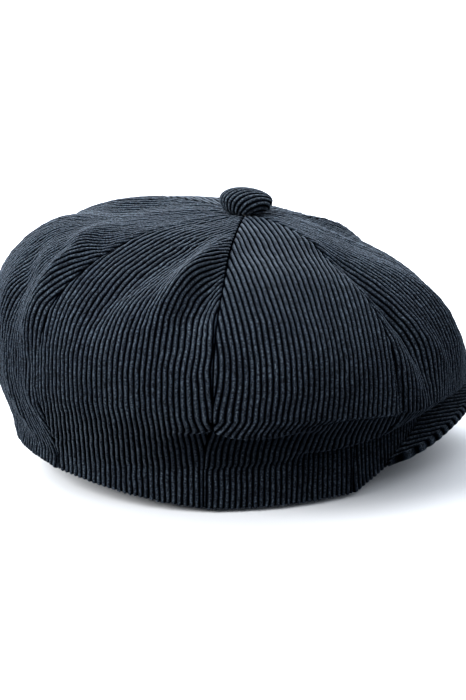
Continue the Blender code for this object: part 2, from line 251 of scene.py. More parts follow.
# The lining. It hangs free of the folds, and leaves the crown for the sweatband at its shoulder
LINING_TOP_DOWN = 0.03
LINING_DEPTH = 0.0056
LINING_SLACK = 0.004
LINING_SLACK_DOWN = 0.5
LINING_CLEARS_FOLDS = 0.0052
LINING_CLEARS_DOWN = 0.3
LINING_LEAVES_CROWN = 0.84
LINING_END_INSET = 0.0039
LINING_END_HEIGHT = 0.030
LINING_BOW = 0.004
LINING_NORMAL_STEP = 0.002
LINING_RIPPLE = 0.0007
LINING_RIPPLE_STEP = 0.022
LINING_CREASE = 0.0004
LINING_CREASE_STEP = 0.008
LINING_CREASE_STRETCH = (1, 1, 0.3)
LINING_CALM_END = 0.1
LINING_SEAM_RIDGE = 0.0010
LINING_SEAM_WIDTH = 0.0012

# The hem's tape, the sweatband and its stitches
TAPE_INSET = 0.0031
TAPE_LIFT = 0.0025
TAPE_HEIGHT = 0.0235
TAPE_THICKNESS = 0.0006
SWEATBAND_INSET = 0.0044
SWEATBAND_LIFT = 0.0006
SWEATBAND_HEIGHT = 0.0325
SWEATBAND_THICKNESS = 0.0011
SWEATBAND_RIPPLE = 0.0003
SWEATBAND_RIPPLE_STEP = 0.03
STITCH_LENGTH = 0.0030
STITCH_PITCH = 0.0042
STITCH_RADIUS = 0.00028
STITCH_HEIGHT = 0.0034
STITCH_BULGE = 1.2
STITCH_END_TAPER = 0.96

# Cloth that crosses the brim's fold line. Its meshes are baked in place instead of hanging on the crown's
# empty
BENDS_WITH_BRIM = ("front", "front_left", "left", "right", "front_right")

# Points at which a piece of cloth's flat size is measured, across and along it
MEASURE_COLUMNS = 33
LINING_MEASURE_ROWS = 60

# The floor lies just under the hem's wales
FLOOR_REACH = 6.0
FLOOR_Z = -0.0026

# The camera stands off the wearer's right rear, a little above the crown
CAMERA_AZIMUTH = -18.78
CAMERA_ELEVATION = 16.48
CAMERA_DISTANCE = 1.15
CAMERA_RIGHT = 0.004594
CAMERA_AIM_Z = 0.050914
CAMERA_ROLL = 0.5
CAMERA_LENS = 117.5
CAMERA_SENSOR = 36.0


def arc_table(long, wide, samples=720):
    """(share of the way round, angle, whole length) along an ellipse, from the front to the wearer's left."""
    angle = np.linspace(0, 2 * math.pi, samples + 1)
    points = np.stack([long * np.cos(angle), wide * np.sin(angle)], axis=1)
    length = np.concatenate([[0], np.cumsum(np.hypot(*np.diff(points, axis=0).T))])
    return length / length[-1], angle, length[-1]


RING_SHARE, RING_ANGLE, RING_LENGTH = arc_table(RING_LONG, RING_WIDE)
CROWN_SHARE, CROWN_ANGLE, _ = arc_table(CROWN_LONG, CROWN_WIDE)


def ring_frame(turn):
    """(x, y, outward x, outward y) of the hem's outline."""
    angle = np.interp(turn % 1.0, RING_SHARE, RING_ANGLE)
    x, y = RING_LONG * np.cos(angle), RING_WIDE * np.sin(angle)
    out_x, out_y = x / RING_LONG**2, y / RING_WIDE**2
    size = np.hypot(out_x, out_y)
    return CENTRE_X + x, y, out_x / size, out_y / size


def hem_z(turn):
    """Height of the hem: 0 along the sides, arched over the brim, lifted a little at the rear."""
    turn = turn % 1.0
    from_front = np.minimum(turn, 1.0 - turn) * RING_LENGTH
    arch = np.maximum(0.0, 1.0 - (from_front / FRONT_ARCH_HALF_LENGTH) ** 2) ** FRONT_ARCH_POWER
    angle = np.interp(turn, RING_SHARE, RING_ANGLE)
    rearward = np.maximum(0.0, (-np.cos(angle) - REAR_LIFT_START) / (1.0 - REAR_LIFT_START))
    return FRONT_ARCH_HEIGHT * arch + REAR_LIFT * rearward**REAR_LIFT_POWER


def underside_table(samples=1024):
    """The stations' values at even steps round the cap, smoothed from one station to the next."""
    places = np.linspace(0, GORES, samples, endpoint=False)
    at = np.array([station for station, _, _ in UNDERSIDE])
    rows = np.array([[0.001 * lift] + [value for share, height in points for value in (share, 0.001 * height)]
                     for _, lift, points in UNDERSIDE])
    away = np.minimum(places, GORES - places) / STATION_SMOOTHING
    kernel = np.exp(-0.5 * away**2)
    kernel_wave = np.fft.rfft(kernel / kernel.sum())
    plain = [np.interp(places, at, values, period=GORES) for values in rows.T]
    return np.stack([np.fft.irfft(np.fft.rfft(values) * kernel_wave, samples) for values in plain], axis=-1)


UNDERSIDE_TABLE = underside_table()


def underside(turn):
    """(how much higher the widest line runs, points as (share of the way in, height)) at each turn."""
    samples = len(UNDERSIDE_TABLE)
    place = (turn % 1.0) * samples
    first = np.floor(place).astype(int) % samples
    part = (place - np.floor(place))[..., None]
    values = UNDERSIDE_TABLE[first] * (1 - part) + UNDERSIDE_TABLE[(first + 1) % samples] * part
    points = values[..., 1:]
    return values[..., 0], points.reshape(*points.shape[:-1], -1, 2)


def catmull_rom(points, place):
    """A smooth curve through points[..., n, :] at place, which runs from 0 at point 1 to n - 3."""
    first = np.clip(np.floor(place).astype(int), 0, points.shape[-2] - 4)
    t = (place - first)[..., None]
    a, b, c, d = (np.take_along_axis(points, (first + k)[..., None, None], axis=-2)[..., 0, :]
                  for k in range(4))
    return 0.5 * (2 * b + (c - a) * t + (2 * a - 5 * b + 4 * c - d) * t**2 + (3 * b - a - 3 * c + d) * t**3)


def plain_crown(turn, down):
    """The crown's outer surface without folds or wales, for arrays of the same shape."""
    angle = np.interp(turn % 1.0, CROWN_SHARE, CROWN_ANGLE)
    front = np.cos(angle)
    ends = 2 * front * front - 1
    wide_x = CENTRE_X + CROWN_FORWARD + CROWN_LONG * front
    wide_y = CROWN_WIDE * np.sin(angle)
    lift, points = underside(turn)
    wide_z = WIDEST_Z - WIDEST_Z_FALL_TO_FRONT * front - WIDEST_Z_FALL_AT_ENDS * ends + lift

    out = np.sin(math.pi / 2 * np.clip(down, 0, 1))
    spread = DOME_SPREAD - DOME_SPREAD_FALL_TO_FRONT * front
    fullness = DOME_FULLNESS - DOME_FULLNESS_FALL_TO_FRONT * front
    rise = np.maximum(0.0, 1.0 - out**spread) ** (1.0 / fullness)
    apex_x = CENTRE_X + APEX_FORWARD
    dome = np.stack([apex_x + (wide_x - apex_x) * out, wide_y * out,
                     wide_z + (TOP_Z - wide_z) * rise], axis=-1)

    ring_x, ring_y, _, _ = ring_frame(turn)
    widest = np.stack([np.zeros_like(wide_z), wide_z], axis=-1)
    above = widest + np.array(WIDEST_SLOPE)
    hem = np.stack([np.ones_like(wide_z), hem_z(turn)], axis=-1)
    points = np.concatenate([above[..., None, :], widest[..., None, :], points, hem[..., None, :]], axis=-2)
    spans = points.shape[-2] - 3
    under = catmull_rom(points, np.clip((down - 1.0) / (BAND_DOWN - 1.0), 0, 1) * spans)
    low = np.clip((down - BAND_DOWN) / (2.0 - BAND_DOWN), 0, 1)
    share = np.where(down > BAND_DOWN, 1.0, under[..., 0])
    band_top = points[..., -2, 1]
    height = np.where(down > BAND_DOWN, band_top + (hem[..., 1] - band_top) * low, under[..., 1])
    skirt = np.stack([wide_x + (ring_x - wide_x) * share,
                      wide_y + (ring_y - wide_y) * share, height], axis=-1)
    return np.where((down <= 1.0)[..., None], dome, skirt)


def grid_normals(grid):
    """Outward unit normals of a grid whose rows run down and whose columns run round to the left."""
    down = np.gradient(grid, axis=0)
    round_ = np.gradient(grid, axis=1)
    normal = np.cross(down, round_)
    return normal / np.maximum(np.linalg.norm(normal, axis=-1, keepdims=True), 1e-12)


def waves(points, step, seed):
    """Smooth noise between about -1 and 1, with features about step across."""
    random = np.random.default_rng(seed)
    total = np.zeros(points.shape[:-1])
    terms = 12
    for _ in range(terms):
        direction = random.normal(size=3)
        direction *= 2 * math.pi / (step * random.uniform(0.8, 2.2) * np.linalg.norm(direction))
        total += np.sin(points @ direction + random.uniform(0, 2 * math.pi))
    return total / math.sqrt(terms)


def along_folds(points):
    """Height that the pressed folds add at each point."""
    total = np.zeros(points.shape[:-1])
    for places, width, height in FOLDS:
        listed = np.array(places)
        steps = np.linspace(0, len(listed) - 1, FOLD_STEPS * (len(listed) - 1) + 1)
        gore = np.interp(steps, np.arange(len(listed)), listed[:, 0])
        down = np.interp(steps, np.arange(len(listed)), listed[:, 1])
        line = plain_crown(gore / GORES, down)
        strengths = np.sin(math.pi * np.linspace(0, 1, len(line))) ** FOLD_END_FULLNESS
        best = np.zeros(points.shape[:-1])
        for spot, following, strong, next_strong in zip(line, line[1:], strengths, strengths[1:]):
            step = following - spot
            part = np.clip((points - spot) @ step / (step @ step), 0, 1)
            distance = np.linalg.norm(points - spot - part[..., None] * step, axis=-1)
            strength = strong + (next_strong - strong) * part
            best = np.maximum(best, strength * np.exp(-(distance / width) ** 2))
        total += height * best
    return total


def folded_crown(turn, down):
    """The crown's surface with its folds, without wales: (points, normals)."""
    plain = plain_crown(turn, down)
    from_button = np.hypot(plain[..., 0] - CENTRE_X - APEX_FORWARD, plain[..., 1])
    dimple = BUTTON_DIMPLE * np.exp(-(from_button / BUTTON_DIMPLE_RADIUS) ** 2)
    plain[..., 2] -= dimple * (plain[..., 2] > BUTTON_DIMPLE_ABOVE_Z)
    normals = grid_normals(plain)
    calm = np.clip(down / FOLDS_FULL_FROM, 0, 1) * np.clip((2.0 - down) / FOLDS_HEM_FADE, 0, 1)
    height = (along_folds(plain) + UNDULATION * waves(plain, UNDULATION_STEP, seed=3)) * calm
    grid = plain + normals * height[..., None]
    spot = plain_crown(np.array(PUCKER_PLACE[0] / GORES), np.array(PUCKER_PLACE[1]))
    towards = spot - plain
    near = np.exp(-(np.linalg.norm(towards, axis=-1) / PUCKER_RADIUS) ** 2)[..., None]
    grid += towards * near * PUCKER_PULL - normals * near**2 * PUCKER_DEPTH
    return grid, grid_normals(grid)


def even_rows(first, last, step):
    """Values of down from first to last that lie about step apart on the wearer's right side."""
    fine = np.linspace(first, last, 4000)
    points = plain_crown(np.full_like(fine, -2.0 / GORES), fine)
    length = np.concatenate([[0], np.cumsum(np.linalg.norm(np.diff(points, axis=0), axis=1))])
    return np.interp(np.linspace(0, length[-1], round(length[-1] / step) + 1), length, fine)


def gore_rows():
    """Values of down for the rows of a gore's mesh, from the button's hole to the hem."""
    top = 2 / math.pi * math.asin(HOLE_RADIUS / CROWN_LONG)
    return np.concatenate([
        even_rows(top, 1.0, ROW_STEP),
        even_rows(1.0, BAND_DOWN, UNDERSIDE_ROW_STEP)[1:],
        even_rows(BAND_DOWN, 2.0, ROW_STEP)[1:],
    ])


def hem_fold(turn):
    """Rows that carry the cloth round the hem's edge and in to the sweatband: (points, normals)."""
    x, y, out_x, out_y = ring_frame(turn)
    low = hem_z(turn)
    faces_in, faces_down = 0.6, 0.8
    points, normals = [], []
    for angle in np.linspace(0, math.pi, HEM_ROLL_ROWS + 1)[1:]:
        inset = HEM_ROLL * (1 - math.cos(angle))
        z = low - HEM_ROLL * math.sin(angle) * HEM_ROLL_FLATNESS
        points.append(np.stack([x - out_x * inset, y - out_y * inset, z], axis=-1))
        normals.append(np.stack([out_x * math.cos(angle), out_y * math.cos(angle),
                                 np.full_like(x, -math.sin(angle))], axis=-1))
    for part in (0.5, 1.0):
        inset = 2 * HEM_ROLL + HEM_TURNING * part
        z = low + HEM_TURNING_RISE * part
        points.append(np.stack([x - out_x * inset, y - out_y * inset, z], axis=-1))
        normals.append(np.stack([-out_x * faces_in, -out_y * faces_in,
                                 np.full_like(x, -faces_down)], axis=-1))
    return np.array(points), np.array(normals)


def wale_profile(place):
    """Height of a wale, 0 in the groove and 1 on its back, for a place in pitches from a wale's middle."""
    return np.abs(np.cos(math.pi * place)) ** WALE_ROUNDNESS


def wale_columns(half_width):
    """Places of the mesh's columns across the cloth, the same few in each wale."""
    wales = math.ceil(half_width / WALE_PITCH) + 1
    places = [wale + phase + 0.5 for wale in range(-wales - 1, wales + 1) for phase in WALE_PHASES]
    return np.array(places) * WALE_PITCH


def wale_lean(index, middle_line, rows):
    """How far each row's wales have moved aside, as a gore's grain runs a little off its middle."""
    steps = np.linalg.norm(np.diff(middle_line[:len(rows)], axis=0), axis=1)
    above = np.where(rows[1:] < LEAN_DOWN, steps * np.clip((LEAN_DOWN - rows[1:]) / LEAN_FADE, 0, 1), 0)
    lean = np.concatenate([np.cumsum(above[::-1])[::-1], [0]]) * WALE_LEANS[index]
    lean += SWEEPS[index] * rise_and_fall(rows, *SWEEP_DOWN)
    return np.concatenate([lean, np.zeros(len(middle_line) - len(rows))])


def rise_and_fall(values, start, top, end):
    """0 up to start, 1 at top, 0 from end on, smooth between."""
    part = np.clip((values - start) / (top - start), 0, 1) * np.clip((end - values) / (end - top), 0, 1)
    return part * part * (3 - 2 * part)


def pucker_gather(index, places, edge, rows):
    """How far the wales beside the pucker are drawn to its seam, so that they loop round it."""
    if index not in PUCKER_SIDES:
        return np.zeros((len(edge), len(places)))
    pull = np.zeros(len(edge))
    pull[:len(rows)] = rise_and_fall(rows, *PUCKER_GATHER_DOWN)
    near = np.exp(-((places - edge[:, None]) / PUCKER_GATHER_WIDTH) ** 2)
    return PUCKER_SIDES[index] * PUCKER_GATHER * pull[:, None] * near


def link(name, mesh, material):
    """A new object for the mesh, in the scene."""
    mesh.materials.append(material)
    made = bpy.data.objects.new(name, mesh)
    bpy.context.scene.collection.objects.link(made)
    return made


def grid_quads(ids):
    """The quads of a grid of point numbers."""
    return np.stack([ids[:-1, :-1], ids[1:, :-1], ids[1:, 1:], ids[:-1, 1:]], axis=-1).reshape(-1, 4)


def mesh_from_grid(name, points, ids, material, attributes=()):
    """A mesh of quads over ids, a grid of point numbers in which neighbours may repeat."""
    quads = grid_quads(ids)
    used, flat = np.unique(quads, return_inverse=True)
    quads = flat.reshape(quads.shape)
    faces = []
    for quad in quads.tolist():
        face = [v for place, v in enumerate(quad) if v != quad[place - 1]]
        if len(set(face)) == len(face) > 2:
            faces.append(face)
    mesh = bpy.data.meshes.new(name)
    mesh.from_pydata(points[used].tolist(), [], faces)
    for label, values in attributes:
        attribute = mesh.attributes.new(label, "FLOAT", "POINT")
        attribute.data.foreach_set("value", values[used].astype(np.float32))
    mesh.validate()
    mesh.shade_smooth()
    return link(name, mesh, material)


def make_gore(index, material):
    """One corduroy gore from under the button to the turning inside the hem, its wales along its middle."""
    columns = np.arange(-GORE_MARGIN, GORE_SAMPLES + GORE_MARGIN + 1) / GORE_SAMPLES - 0.5
    turns = (index + columns) / GORES
    rows = gore_rows()
    turn, down = np.meshgrid(turns, rows)
    grid, normals = folded_crown(turn, down)
    fold_points, fold_normals = hem_fold(turns)
    grid = np.concatenate([grid, fold_points])
    normals = np.concatenate([normals, fold_normals])

    length = np.linalg.norm(np.diff(grid, axis=1), axis=-1)
    across = np.concatenate([np.zeros((len(grid), 1)), np.cumsum(length, axis=1)], axis=1)
    middle = GORE_MARGIN + GORE_SAMPLES // 2
    across -= across[:, middle:middle + 1]
    left, right = across[:, GORE_MARGIN], across[:, -1 - GORE_MARGIN]
    lean = wale_lean(index, grid[:, middle], rows)
    places = wale_columns(max(-left.min(), right.max()) + np.abs(lean).max())

    shape = (len(grid), len(places))
    points, heights = np.empty(shape + (3,)), np.empty(shape)
    ids = np.empty(shape, int)
    steps = np.linalg.norm(np.diff(grid[:, middle], axis=0), axis=1)
    along = np.concatenate([[0], np.cumsum(steps)])
    flat = np.stack([*np.meshgrid(places, along), np.full(shape, 0.1 * index)], axis=-1)
    wander = WALE_WANDER * waves(flat, WALE_WANDER_STEP, seed=20 + index)
    wander += pucker_gather(index, places, right if PUCKER_SIDES.get(index) == 1 else left, rows)
    uneven = 1 + WALE_UNEVENNESS * waves(flat, GORE_UNEVENNESS_STEP, seed=40 + index)
    for row in range(len(grid)):
        place = np.clip(places + lean[row] + wander[row], left[row], right[row])
        spot = np.interp(place, across[row], np.arange(len(turns)))
        low = np.clip(np.floor(spot).astype(int), 0, len(turns) - 2)
        part = (spot - low)[:, None]
        point = grid[row, low] * (1 - part) + grid[row, low + 1] * part
        normal = normals[row, low] * (1 - part) + normals[row, low + 1] * part
        seam = np.minimum(place - left[row], right[row] - place)
        wale = wale_profile(places / WALE_PITCH) * np.clip(seam / SEAM_HALF_WIDTH, 0, 1) ** SEAM_ROUNDNESS
        puff = SEAM_PUFF * np.exp(-((seam - SEAM_PUFF_PLACE) / SEAM_PUFF_PLACE) ** 2)
        drop = SEAM_DROP * np.exp(-(seam / SEAM_HALF_WIDTH) ** 2)
        points[row] = point + normal * (WALE_HEIGHT * (wale * uneven[row] - 1) + puff - drop)[:, None]
        # The wale height, kept as the pile attribute, also drives the painted groove shade in the corduroy
        # material
        heights[row] = wale
        inside = np.flatnonzero((place > left[row]) & (place < right[row]))
        ids[row] = row * len(places) + np.clip(np.arange(len(places)), inside[0] - 1, inside[-1] + 1)
    return mesh_from_grid("gore_" + PLACES[index], points.reshape(-1, 3), ids, material,
                          [("pile", heights.reshape(-1))])


def button_profile(samples=160):
    """(radius, height, length so far) down the covered button, from the middle of its top to its mouth."""
    angle = np.linspace(0, math.pi, samples)
    upper = angle <= math.pi / 2
    radius = np.where(upper, BUTTON_RADIUS * np.sin(angle),
                      BUTTON_MOUTH_RADIUS + (BUTTON_RADIUS - BUTTON_MOUTH_RADIUS) * np.sin(angle))
    height = BUTTON_WIDEST + np.cos(angle) * np.where(upper, BUTTON_HEIGHT - BUTTON_WIDEST,
                                                      BUTTON_WIDEST - BUTTON_MOUTH_HEIGHT)
    length = np.concatenate([[0], np.cumsum(np.hypot(np.diff(radius), np.diff(height)))])
    return radius, height, length


def make_button(material, rings=74, around=300):
    """The corduroy disc stretched over the button, its wales across the top and gathered under the rim."""
    radius, height, length = button_profile()
    out = np.linspace(0, length[-1], rings)
    ring, turn = np.meshgrid(out, np.linspace(0, 2 * math.pi, around, endpoint=False), indexing="ij")
    reach = np.interp(ring, length, radius)
    level = np.interp(ring, length, height)
    grid = np.stack([reach * np.cos(turn), reach * np.sin(turn), level], axis=-1)
    closed = np.concatenate([grid[:, -1:], grid, grid[:, :1]], axis=1)
    normals = grid_normals(closed)[:, 1:-1]
    normals[0] = (0, 0, 1)
    wale = wale_profile(ring * np.sin(turn) / WALE_PITCH + BUTTON_WALE_OFFSET)
    gathered = np.clip((ring - BUTTON_RADIUS) / (length[-1] - BUTTON_RADIUS), 0, 1) ** 2
    pleat = gathered * np.abs(np.sin(turn * BUTTON_PLEATS / 2)) * BUTTON_PLEAT_DEPTH
    points = grid + normals * (WALE_HEIGHT * (wale - 1) - pleat)[..., None]
    ids = np.arange(rings * around).reshape(rings, around)
    ids[0] = 0
    ids = np.concatenate([ids, ids[:, :1]], axis=1)
    made = mesh_from_grid("button_fabric", points.reshape(-1, 3), ids, material, [("pile", wale.reshape(-1))])
    low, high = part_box("button_cover")
    place = Vector(((low.x + high.x) / 2, (low.y + high.y) / 2, TOP_Z + BUTTON_RAISE))
    made.data.transform(Matrix.Rotation(math.radians(BUTTON_WALE_TURN), 4, "Z"))
    for vertex in made.data.vertices:
        fuller = 1 + BUTTON_SKEW * (0.5 - 0.5 * vertex.co.x / BUTTON_RADIUS)
        vertex.co.z *= fuller if vertex.co.z > 0 else 1.0
    made.data.transform(Matrix.Translation(place))
    return made


def brim_z(y):
    """Height of the brim's lower face at y: it follows the arch of the hem."""
    angle = np.arcsin(np.clip(y / RING_WIDE, -1, 1))
    return hem_z(np.interp(np.abs(angle), RING_ANGLE, RING_SHARE)) + BRIM_LIFT


def brim_root(y):
    """How far in front of the hem's centre the brim joins the hem."""
    return RING_LONG * np.sqrt(1.0 - (y / RING_WIDE) ** 2)


def brim_outline(y):
    """x of the brim's edge."""
    side = np.abs(y) / BRIM_HALF_WIDTH
    reach = np.maximum(0.0, 1.0 - side**BRIM_OUTLINE_POWER) ** (1.0 / BRIM_OUTLINE_POWER)
    return CENTRE_X + np.maximum(BRIM_CHORD_X + BRIM_REACH * reach, brim_root(y) + BRIM_SHORTEST)


def make_brim_cover(name, material, upper):
    """Corduroy over or under the brim, its wales running front to back, rolled round the edge to the seam."""
    places = wale_columns(BRIM_HALF_WIDTH)
    y = places[np.abs(places) <= BRIM_HALF_WIDTH]
    y = np.concatenate([[-BRIM_HALF_WIDTH], y, [BRIM_HALF_WIDTH]])
    root_x = CENTRE_X + brim_root(y)
    edge_x = brim_outline(y)
    slope = np.gradient(edge_x, y)
    size = np.hypot(slope, 1.0)
    out_x, out_y = 1 / size, -slope / size
    half = BRIM_THICKNESS / 2
    roll = half * np.clip((edge_x - root_x) / BRIM_EDGE_FULL_FROM, BRIM_EDGE_LEAST_ROLL, 1.0)
    side = 1.0 if upper else -1.0
    start_x, start_y = edge_x - out_x * roll, y - out_y * roll
    rows = []
    for part in np.linspace(0, 1, BRIM_ROWS):
        rows.append((root_x + (start_x - root_x) * part, y + (start_y - y) * part,
                     np.full_like(y, half + side * half)))
    for angle in np.linspace(0, math.pi / 2, BRIM_EDGE_ROWS)[1:]:
        inset = roll * (1 - math.sin(angle))
        rows.append((edge_x - out_x * inset, y - out_y * inset,
                     np.full_like(y, half + side * half * math.cos(angle))))
    plan = np.array(rows).transpose(0, 2, 1)
    step = BRIM_SLOPE_STEP
    arch = (brim_z(plan[..., 1] + step) - brim_z(plan[..., 1] - step)) / (2 * step)
    steep = np.hypot(arch, 1.0)
    lift = plan[..., 2]
    grid = np.stack([plan[..., 0], plan[..., 1] - lift * arch / steep,
                     brim_z(plan[..., 1]) + lift / steep], axis=-1)
    normals = grid_normals(grid) * side
    wale = np.broadcast_to(wale_profile(y / WALE_PITCH), grid.shape[:2]).copy()
    past = np.arange(len(grid)) - BRIM_ROWS + BRIM_EDGE_BLEND_ROWS
    edge = np.clip(past / BRIM_EDGE_BLEND_ROWS, 0, 1)[:, None]
    flat = np.stack([grid[..., 0], grid[..., 1], np.full(grid.shape[:2], side)], axis=-1)
    uneven = 1 + WALE_UNEVENNESS * waves(flat, BRIM_UNEVENNESS_STEP, seed=60)
    grid[..., 1] += WALE_WANDER * waves(flat, WALE_WANDER_STEP, seed=61) * (1 - edge)
    narrow = np.clip(2 - (edge_x - root_x) / BRIM_EDGE_FULL_FROM, 0, 1)
    puff = edge * (BRIM_EDGE_PUFF + BRIM_END_EXTRA * narrow)
    flatness = edge * (BRIM_EDGE_FLATNESS + BRIM_END_EXTRA * narrow)
    points = grid + normals * (WALE_HEIGHT * (wale * uneven * (1 - flatness) - 1 + puff))[..., None]
    ids = np.arange(wale.size).reshape(wale.shape)
    if not upper:
        ids = ids[:, ::-1]
    return mesh_from_grid(name, points.reshape(-1, 3), ids, material, [("pile", wale.reshape(-1))])


def lining_point(turn, down):
    """The lining's outer face: under the crown to its shoulder, then nearly straight to the sweatband."""
    steps = np.minimum(down, LINING_LEAVES_CROWN)
    crown = plain_crown(turn, steps)
    slack = LINING_SLACK * np.clip(1.0 - steps / LINING_SLACK_DOWN, 0, 1) ** 2
    slack += LINING_CLEARS_FOLDS * np.clip(steps / LINING_CLEARS_DOWN, 0, 1)
    step = LINING_NORMAL_STEP
    along = plain_crown(turn, steps + step) - plain_crown(turn, steps - step)
    across = plain_crown(turn + step, steps) - plain_crown(turn - step, steps)
    inward = np.cross(across, along)
    inward = inward / np.linalg.norm(inward, axis=-1, keepdims=True)
    crown = crown + inward * (LINING_DEPTH + slack)[..., None]
    x, y, out_x, out_y = ring_frame(turn)
    end = np.stack([x - out_x * LINING_END_INSET, y - out_y * LINING_END_INSET,
                    hem_z(turn) + LINING_END_HEIGHT], axis=-1)
    part = np.clip((down - LINING_LEAVES_CROWN) / (1 - LINING_LEAVES_CROWN), 0, 1)[..., None]
    bow = LINING_BOW * np.sin(math.pi * part) * np.stack([out_x, out_y, np.zeros_like(x)], axis=-1)
    return crown + (end - crown) * part + bow


def make_lining_gore(index, material, columns=48, rows=110):
    """One satin gore of the lining, a little slack, with a pressed seam at each side."""
    share = np.linspace(-0.5, 0.5, columns + 1)
    downs = np.concatenate([np.linspace(LINING_TOP_DOWN, LINING_LEAVES_CROWN, rows * 2 // 3),
                            np.linspace(LINING_LEAVES_CROWN, 1.0, rows // 3)[1:]])
    turn, down = np.meshgrid((index + share) / GORES, downs)
    grid = lining_point(turn, down)
    normals = grid_normals(grid)
    width = np.linalg.norm(grid[:, -1] - grid[:, 0], axis=-1)[:, None]
    seam = (0.5 - np.abs(share))[None, :] * width
    calm = np.clip((1.0 - down) / LINING_CALM_END, 0, 1)
    height = LINING_RIPPLE * waves(grid, LINING_RIPPLE_STEP, seed=70 + index) * calm
    creases = waves(grid * LINING_CREASE_STRETCH, LINING_CREASE_STEP, seed=80 + index)
    height += LINING_CREASE * creases * calm
    height += LINING_SEAM_RIDGE * np.exp(-(seam / LINING_SEAM_WIDTH) ** 2)
    grid = grid - normals * height[..., None]
    ids = np.arange(turn.size).reshape(turn.shape)[:, ::-1]
    return mesh_from_grid("lining_gore_" + PLACES[index], grid.reshape(-1, 3), ids, material)


def make_band(name, inset, lift, height, thickness, material, ripple, columns=560, rows=18):
    """A band standing inside the hem, its lower edge following the hem."""
    turn, up = np.meshgrid(np.arange(columns) / columns, np.linspace(0, 1, rows))
    x, y, out_x, out_y = ring_frame(turn)
    level = hem_z(turn) + lift + height * up
    places = np.stack([x, y, level], axis=-1)
    moved = inset + ripple * waves(places, SWEATBAND_RIPPLE_STEP, seed=90) * np.sin(math.pi * up) ** 0.5
    grid = np.stack([x - out_x * moved, y - out_y * moved, level], axis=-1)
    ids = np.arange(turn.size).reshape(turn.shape)
    ids = np.concatenate([ids, ids[:, :1]], axis=1)
    made = mesh_from_grid(name, grid.reshape(-1, 3), ids[::-1], material)
    shell = made.modifiers.new("Thickness", "SOLIDIFY")
    shell.thickness = thickness
    shell.offset = -1.0
    return made


def make_stitches(name, inset, height, material):
    """A row of straight stitches round the head, each a short thread that dips at both ends."""
    count = round(RING_LENGTH / STITCH_PITCH)
    spans, sides = 6, 8
    points, ids = [], []
    for stitch in range(count):
        part = np.linspace(-0.5, 0.5, spans + 1)
        turn = (stitch + part * STITCH_LENGTH / STITCH_PITCH) / count
        x, y, out_x, out_y = ring_frame(turn)
        bulge = STITCH_RADIUS * STITCH_BULGE * (1 - (2 * part) ** 4)
        swell = STITCH_RADIUS * np.sqrt(1 - (2 * part) ** 6 * STITCH_END_TAPER)
        for angle in np.arange(sides) * 2 * math.pi / sides:
            moved = inset + bulge + swell * math.cos(angle)
            points.append(np.stack([x - out_x * moved, y - out_y * moved,
                                    hem_z(turn) + height + swell * math.sin(angle)], axis=-1))
        first = stitch * sides * (spans + 1)
        ring = np.arange(sides * (spans + 1)).reshape(sides, spans + 1) + first
        ids.append(np.concatenate([ring, ring[:1]]))
    points = np.concatenate(points)
    faces = np.concatenate([grid_quads(grid) for grid in ids])
    mesh = bpy.data.meshes.new(name)
    mesh.from_pydata(points.tolist(), [], faces.tolist())
    mesh.shade_smooth()
    return link(name, mesh, material)


# Materials


def new_material(name):
    """A new material with its nodes, links and shader."""
    made = bpy.data.materials.new(name)
    made.use_nodes = True
    return made, made.node_tree.nodes, made.node_tree.links, made.node_tree.nodes["Principled BSDF"]


def colour_ramp(nodes, stops):
    """A ramp through stops, which are (place, colour)."""
    ramp = nodes.new("ShaderNodeValToRGB")
    ramp.color_ramp.elements[0].position, ramp.color_ramp.elements[0].color = stops[0][0], (*stops[0][1], 1)
    ramp.color_ramp.elements[1].position, ramp.color_ramp.elements[1].color = stops[-1][0], (*stops[-1][1], 1)
    for place, colour in stops[1:-1]:
        ramp.color_ramp.elements.new(place).color = (*colour, 1)
    return ramp


def noise(nodes, links, scale, detail, roughness):
    coordinates = nodes.new("ShaderNodeTexCoord")
    texture = nodes.new("ShaderNodeTexNoise")
    texture.inputs["Scale"].default_value = scale
    texture.inputs["Detail"].default_value = detail
    texture.inputs["Roughness"].default_value = roughness
    links.new(coordinates.outputs["Object"], texture.inputs["Vector"])
    return texture


def mix_colours(nodes, links, factor, first, second, blend="MIX"):
    """The colour made from two colour outputs."""
    mixed = nodes.new("ShaderNodeMix")
    mixed.data_type = "RGBA"
    mixed.blend_type = blend
    mixed.inputs[0].default_value = factor
    links.new(first, mixed.inputs[6])
    links.new(second, mixed.inputs[7])
    return mixed.outputs[2]


def add_bump(nodes, links, shader, height, strength, distance):
    bump = nodes.new("ShaderNodeBump")
    bump.inputs["Strength"].default_value = strength
    bump.inputs["Distance"].default_value = distance
    links.new(height, bump.inputs["Height"])
    links.new(bump.outputs["Normal"], shader.inputs["Normal"])


